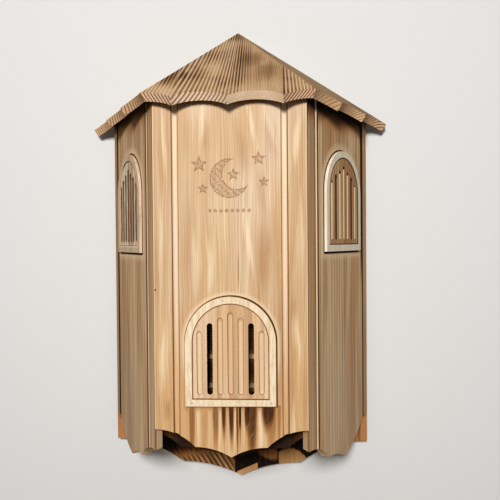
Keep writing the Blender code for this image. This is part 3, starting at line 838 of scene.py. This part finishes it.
def plaque_tones(finish, axes, colour, look, gap, flute):
    """Tones of the frame and of the floors of the flutes, which on the left window are painted shade, and the
    painted shade round the flutes.
    """
    across, inward, along = axes
    mottle = finish.noise(axes, (300.0, 300.0, 45.0), look["seed"] + 71.0, detail=4.0, roughness=0.72)
    frame_tone = finish.mix(mottle.rise(0.40, 0.68), look["frame"], look["frame_worn"])
    colour = finish.mix(gap.above(0.0002) * 0.85, colour, frame_tone)
    floor = (inward - FIELD_FLOOR).rise(*look["floor_depth"]) * flute
    colour = finish.mix(floor * look["floor"], colour, look["floor_tone"])
    # Painted shade round the flutes, in the tone of their floors
    off_centre = from_slot(across / SLOT_PITCH).size() * SLOT_PITCH
    flute_shade = off_centre.rise(SLOT_W / 2.0 + 0.0014, SLOT_W / 2.0 + 0.0006) * flute
    flute_shade = flute_shade * along.rise(SLOT_FOOT - 0.0010, SLOT_FOOT + 0.0010)
    flute_shade = flute_shade * (slot_head(across) - along).rise(-0.0010, 0.0010)
    return finish.mix(flute_shade * mottle.rise(0.30, 0.60) * look["flute_shade"], colour, look["floor_tone"])


def plaque_wood(name, corner, turn, look):
    """Pale thin board with browned rims inside its raised frame and round its flutes, and painted highlights
    and painted shade on its lips, edges, corners and open flutes.
    """
    finish = Finish(name)
    axes = finish.board_axes(corner, turn)
    across, inward, along = axes
    board = tree(seed=look["seed"], heart_u=(0.01,), pitch=(0.0036,), wander=0.005,
                 contrast=look["contrast"], light=look["field"], warm=look["field_warm"],
                 pink=look["field_pink"], dark=PLAQUE_LINE, pores=0.4)
    colour, height = softwood(finish, axes, board)[:2]
    gap = arch_distance(across, along, PLAQUE_W / 2.0 - PLAQUE_BAND, PLAQUE_BAND, PLAQUE_SPRING)
    outer = arch_distance(across, along, PLAQUE_W / 2.0, 0.0, PLAQUE_SPRING)
    flute = 1.0 - gap.above(-0.0008)
    colour = plaque_tones(finish, axes, colour, look, gap, flute)
    deep = inward - FIELD_FLOOR
    lip = deep.band(0.00024, 0.00014, 0.0001) * flute
    lit_half = from_slot(across * (look["lit"] / SLOT_PITCH)).rise(-0.05, 0.05)
    # Painted highlight on the lit half of each lip
    colour = finish.mix(lip * lit_half * 0.5, colour, CREAM)
    # Painted highlight on the inner edge of the frame, on its left and at its foot
    bright = across.rise(-0.015, -0.025).most(along.rise(0.012, 0.009)) * look["edge_highlight"]
    colour = finish.mix(gap.band(0.0009, 0.0007, 0.0004) * bright, colour, CREAM)
    brown = gap.band(0.0, 0.0003, 0.0005) * look["rim"] * (1.0 - bright * 0.6)
    # Burnt lips, with painted shade making the unlit half darker
    brown = brown.most(lip * (1.0 - lit_half * 0.30) * look["lip"])
    # Burnt outer edge, with painted shade making it darker towards the right
    brown = brown.most(outer.rise(-0.0010, -0.0003) * (across.rise(-0.03, 0.04) * 0.6 + 0.2) * look["edge"])
    # Painted shade in corners
    brown = brown.most(finish.nook(0.004).rise(0.45, 1.0) * 0.65)
    shadow = (along - slot_head(across) + 0.0016).size().rise(0.0020, 0.0009) * deep.rise(0.0, 0.0003) * flute
    brown = brown.most(shadow * look["top"])
    # Painted shade on the walls of the open flutes inside the board
    opened = (across.size() - OPEN_SLOT * SLOT_PITCH).size().rise(SLOT_W / 2.0 + 0.0006, SLOT_W / 2.0)
    brown = brown.most(opened * deep.rise(0.0004, 0.0009) * flute)
    colour = darken(finish, colour, brown, tone=PLAQUE_UMBER)
    return finish.finish(colour, height, 0.60, 0.00018)


RUNGS_A_ROW = 9
# The partitions are painted near black as painted shade inside the house, and the rungs are painted paler as
# painted light
PARTITION_TONES = ((52, 32, 18), (28, 17, 10))
RUNG_TONES = ((196, 164, 126), (158, 124, 90))
STEEL_GREY = (150, 138, 120)


def inner_wood(name, light, dark, corner_shade):
    """Rough sawn inside boards in the colours given, with painted shade in their corners."""
    finish = Finish(name)
    axes = finish.board_axes(NOWHERE, NO_TURN)
    board = tree(seed=71.0, heart_w=(0.3,), pitch=(0.006,), light=light, warm=light, pink=dark,
                 dark=dark, contrast=0.7)
    colour, height = softwood(finish, axes, board)[:2]
    colour = darken(finish, colour, finish.nook(0.030).rise(0.2, 0.9) * corner_shade)
    return finish.finish(colour, height, 0.80, 0.00050)


def steel(name):
    """Dull wire, finely scratched."""
    finish = Finish(name)
    finish.shader.inputs["Base Color"].default_value = linear(STEEL_GREY)
    finish.shader.inputs["Metallic"].default_value = 0.9
    axes = finish.board_axes(NOWHERE, NO_TURN)
    grain = finish.noise(axes, (3000.0, 3000.0, 3000.0), 2.0)
    finish.feed(finish.shader.inputs["Roughness"], grain * 0.3 + 0.35)
    return finish.material


def link_object(name, data):
    obj = bpy.data.objects.new(name, data)
    bpy.context.scene.collection.objects.link(obj)
    return obj


def link_mesh(name, bm, material):
    """Smooth mesh object of a bmesh, which is freed."""
    mesh = bpy.data.meshes.new(name)
    bm.to_mesh(mesh)
    bm.free()
    mesh.shade_smooth()
    mesh.materials.append(material)
    return link_object(name, mesh)


# Brads of a plaque: across and up from the middle of its foot
BRADS = ((-0.0387, 0.0034), (0.0405, 0.0036), (-0.0072, 0.1052))
BRAD_R = 0.0007
BRAD_DOME = 0.00025
BRAD_SEGMENTS = 16
BRAD_RINGS = 8


def brad(name, place, material):
    """Small domed pin head, its dome proud of the plaque."""
    bm = bmesh.new()
    bmesh.ops.create_uvsphere(bm, u_segments=BRAD_SEGMENTS, v_segments=BRAD_RINGS, radius=BRAD_R)
    bmesh.ops.scale(bm, vec=(1.0, BRAD_DOME / BRAD_R, 1.0), verts=bm.verts)
    bmesh.ops.transform(bm, matrix=place, verts=bm.verts)
    obj = link_mesh(name, bm, material)
    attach(obj, "root")


def front_face():
    """Where the outer face of the front panel lies, from the wall."""
    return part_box("front_panel")[0][1]


def side_place(hand):
    """Corner and turn of a side panel's own axes."""
    half_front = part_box("front_panel")[1][0]
    return (half_front * hand, front_face(), 0.0), (0.0, 0.0, SIDE_TURN * hand)


def window_place(hand):
    """Matrix from a window's own axes, from the middle of its foot, to the model's."""
    corner, turn = side_place(hand)
    place = Matrix.Translation(corner) @ Matrix.Rotation(math.radians(turn[2]), 4, 'Z')
    return place @ Matrix.Translation((hand * (WINDOW_NEAR_EDGE + PLAQUE_W / 2.0), 0.0, 0.0))


def grille_foot():
    """Height of the foot of the front grille."""
    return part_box("front_grille")[0][2]


def roof_place(degrees):
    """Top and turn of a roof panel's own axes."""
    top = (0.0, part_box("back_board")[0][1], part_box("front_roof_panel")[1][2])
    return top, (ROOF_SLOPE - 90.0, 0.0, degrees)


def pin_plaques():
    """Three brads hold each plaque."""
    material = steel("brad_steel")
    proud = front_face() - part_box("front_grille")[0][1]
    places = {"grille": Matrix.Translation((0.0, front_face(), grille_foot()))}
    for side in SIDES:
        places[side["name"] + "_window"] = window_place(side["hand"])
    for plaque, place in places.items():
        for number, (across, up) in enumerate(BRADS, 1):
            brad(f"{plaque}_brad_{number}", place @ Matrix.Translation((across, -proud, up)), material)


def dress(node, material):
    """Give a CAD node its finish through its material slots."""
    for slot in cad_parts[node].material_slots:
        slot.material = material


def dress_front_and_back():
    """The middle of the house: front panel, grille, back board and front roof panel."""
    face = front_face()
    foot = grille_foot()
    dress("front_panel", front_panel_wood((0.0, face, 0.0), foot))
    dress("front_grille", plaque_wood("grille_wood", (0.0, face, foot), NO_TURN, GRILLE_LOOK))
    dress("back_board", back_board_wood((0.0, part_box("back_board")[0][1], 0.0)))
    top, slope = roof_place(0.0)
    dress("front_roof_panel", roof_panel_wood("front_roof_wood", top, slope, FRONT_ROOF, FRONT_ROOF_TORCH))


def dress_side(side):
    """One side of the house: panel, edge strip, window and roof panel."""
    name = side["name"]
    hand = side["hand"]
    corner, turn = side_place(hand)
    dress(name + "_side_panel", side_panel_wood(side, corner, turn))
    dress(name + "_edge_strip", edge_strip_wood(side, corner, turn))
    foot = window_place(hand).translation
    dress(name + "_window", plaque_wood(name + "_window_wood", foot, turn, WINDOW_LOOKS[name]))
    top, slope = roof_place(SIDE_TURN * hand)
    wood = roof_panel_wood(name + "_roof_wood", top, slope, side_roof(hand), SIDE_ROOF_TORCH)
    dress(name + "_roof_panel", wood)


def dress_inside():
    """The roosting partitions and their climbing rungs."""
    partition = inner_wood("partition_wood", *PARTITION_TONES, 1.0)
    rung = inner_wood("rung_wood", *RUNG_TONES, 0.2)
    for row in ("front", "middle", "rear"):
        dress(row + "_partition", partition)
        for number in range(RUNGS_A_ROW):
            dress(f"{row}_rung_{number + 1}", rung)


def camera():
    """Camera at the photograph's place; the rows of its turn are right, forward and up."""
    rows = Matrix.Rotation(ROLL, 3, 'Y') @ Matrix.Rotation(PITCH, 3, 'X') @ Matrix.Rotation(YAW, 3, 'Z')
    right, forward, up = rows
    data = bpy.data.cameras.new("camera")
    data.sensor_width = SENSOR
    data.lens = LENS
    obj = link_object("camera", data)
    place = Matrix((right, up, -forward)).transposed().to_4x4()
    place.translation = CAMERA_AT
    obj.matrix_world = place
    bpy.context.scene.camera = obj


def key_lamp():
    """Square lamp in front of the house; its level is what it adds to a white face turned to it."""
    data = bpy.data.lights.new("key", 'AREA')
    data.size = KEY_SIZE
    data.energy = KEY_LEVEL * (math.pi * KEY_DISTANCE) ** 2
    obj = link_object("key", data)
    azimuth = math.radians(KEY_AZIMUTH)
    height = math.radians(KEY_ELEVATION)
    away = Vector((math.sin(azimuth) * math.cos(height), -math.cos(azimuth) * math.cos(height),
                   math.sin(height)))
    obj.location = KEY_AIM + away * KEY_DISTANCE
    obj.rotation_euler = (-away).to_track_quat('-Z', 'Y').to_euler()


def sky():
    """Even light from the front and stronger light from behind the wall, seen as a pale ground."""
    world = bpy.data.worlds.new("sky")
    bpy.context.scene.world = world
    world.use_nodes = True
    nodes = world.node_tree.nodes
    link = world.node_tree.links.new
    nodes.clear()
    seen = nodes.new("ShaderNodeBackground")
    seen.inputs["Color"].default_value = linear(SKY_SEEN)
    light = nodes.new("ShaderNodeBackground")
    split = nodes.new("ShaderNodeSeparateXYZ")
    link(nodes.new("ShaderNodeTexCoord").outputs["Generated"], split.inputs[0])
    level = nodes.new("ShaderNodeMapRange")
    for name, value in zip(("From Min", "From Max", "To Min", "To Max"),
                           SKY_BLEND + (SKY_LEVEL, REAR_SKY_LEVEL)):
        level.inputs[name].default_value = value
    link(split.outputs["Y"], level.inputs["Value"])
    link(level.outputs[0], light.inputs["Strength"])
    mix = nodes.new("ShaderNodeMixShader")
    link(nodes.new("ShaderNodeLightPath").outputs["Is Camera Ray"], mix.inputs[0])
    link(light.outputs[0], mix.inputs[1])
    link(seen.outputs[0], mix.inputs[2])
    link(mix.outputs[0], nodes.new("ShaderNodeOutputWorld").inputs[0])


def stage_paint():
    """Pale matt paint that is clear from behind, and where the back board lies against it.

    It throws less light on to the sides of the house than it shows.
    """
    finish = Finish("stage_paint")
    seen = Signal(finish, finish.add("ShaderNodeLightPath").outputs["Is Camera Ray"])
    finish.feed(finish.shader.inputs["Base Color"], finish.mix(seen, WALL_THROWN, WALL_SEEN))
    finish.shader.inputs["Roughness"].default_value = 0.9
    finish.shader.inputs["Specular IOR Level"].default_value = 0.1
    behind = Signal(finish, finish.add("ShaderNodeNewGeometry").outputs["Backfacing"])
    path = finish.add("ShaderNodeLightPath")
    near = Signal(finish, path.outputs["Ray Length"]).rise(*TOUCHING)
    near = near * (1.0 - Signal(finish, path.outputs["Is Camera Ray"]))
    clear = finish.add("ShaderNodeBsdfTransparent")
    mix = finish.add("ShaderNodeMixShader")
    finish.feed(mix.inputs[0], behind.most(near))
    finish.tree.links.new(finish.shader.outputs[0], mix.inputs[1])
    finish.tree.links.new(clear.outputs[0], mix.inputs[2])
    finish.tree.links.new(mix.outputs[0], finish.tree.nodes["Material Output"].inputs[0])
    return finish.material


def backdrop():
    """Pale wall that sweeps down into a pale floor, its face towards the camera."""
    profile = [(WALL_GAP, WALL_TOP), (WALL_GAP, FLOOR_Z + COVE_RADIUS)]
    for step in range(1, COVE_STEPS + 1):
        angle = math.radians(90.0 * step / COVE_STEPS)
        profile.append((WALL_GAP - COVE_RADIUS * (1.0 - math.cos(angle)),
                        FLOOR_Z + COVE_RADIUS * (1.0 - math.sin(angle))))
    profile.append((FLOOR_FRONT, FLOOR_Z))
    bm = bmesh.new()
    left = [bm.verts.new((-WALL_HALF, y, z)) for y, z in profile]
    right = [bm.verts.new((WALL_HALF, y, z)) for y, z in profile]
    for corners in zip(left, left[1:], right[1:], right):
        bm.faces.new(corners)
    obj = link_mesh("backdrop", bm, stage_paint())


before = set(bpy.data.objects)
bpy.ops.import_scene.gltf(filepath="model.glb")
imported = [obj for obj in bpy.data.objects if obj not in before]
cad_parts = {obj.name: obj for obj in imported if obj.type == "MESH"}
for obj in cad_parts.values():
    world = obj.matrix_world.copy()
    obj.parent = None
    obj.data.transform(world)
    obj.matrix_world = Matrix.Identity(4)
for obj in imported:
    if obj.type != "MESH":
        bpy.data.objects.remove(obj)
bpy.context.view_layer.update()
bpy.context.scene.view_settings.view_transform = 'Standard'
camera()
sky()
key_lamp()
backdrop()
dress_front_and_back()
for house_side in SIDES:
    dress_side(house_side)
dress_inside()
pin_plaques()
